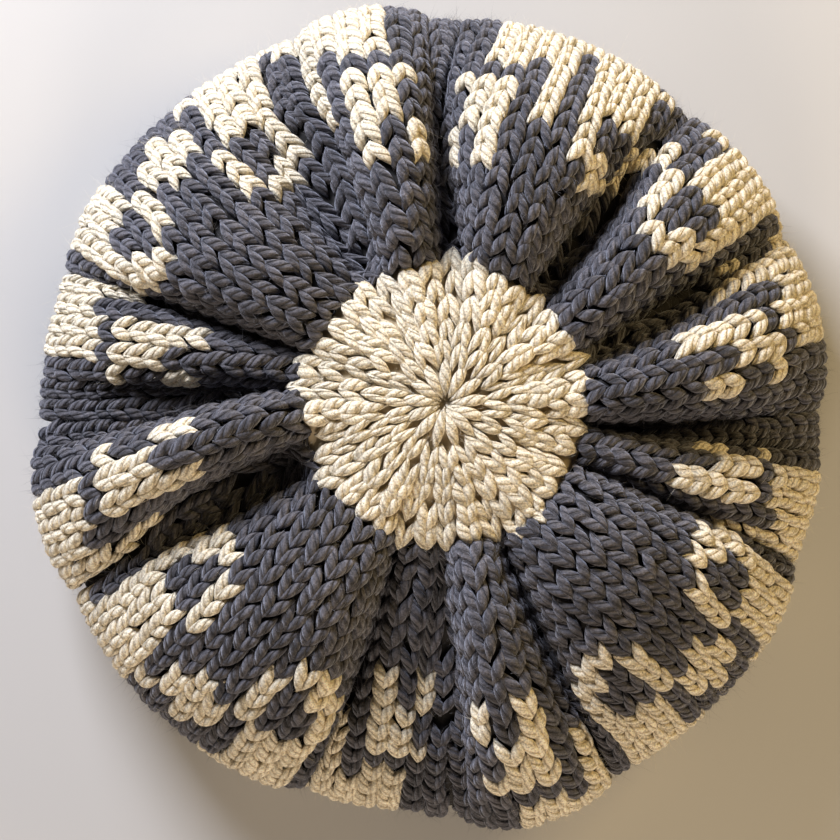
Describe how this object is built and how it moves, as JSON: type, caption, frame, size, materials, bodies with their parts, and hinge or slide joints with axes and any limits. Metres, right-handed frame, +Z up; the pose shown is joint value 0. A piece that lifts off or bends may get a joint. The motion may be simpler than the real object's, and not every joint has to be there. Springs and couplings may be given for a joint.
{
  "type": "tam o shanter",
  "caption": "Soft hand-knitted tam with a pleated puffed crown, a pale centre disc and a ribbed head band, resting on its band.",
  "frame": {"origin": "under the middle of the hat, on the surface that its band rests on", "axes": "+Z up through the crown, +X to the right and +Y away from the viewer as the hat is seen from above"},
  "size_m": [0.2522, 0.2611, 0.073],
  "materials": {
    "cream_wool": "bulky plied wool in stocking stitch",
    "charcoal_wool": "bulky plied wool in stocking stitch with a charted cream pattern",
    "charcoal_ribbing": "bulky plied wool in knit one, purl one ribbing"
  },
  "bodies": {
    "root": {"crown_disc": "cream_wool", "pleated_body": "charcoal_wool", "ribbed_band": "charcoal_ribbing"}
  },
  "joints": []
}
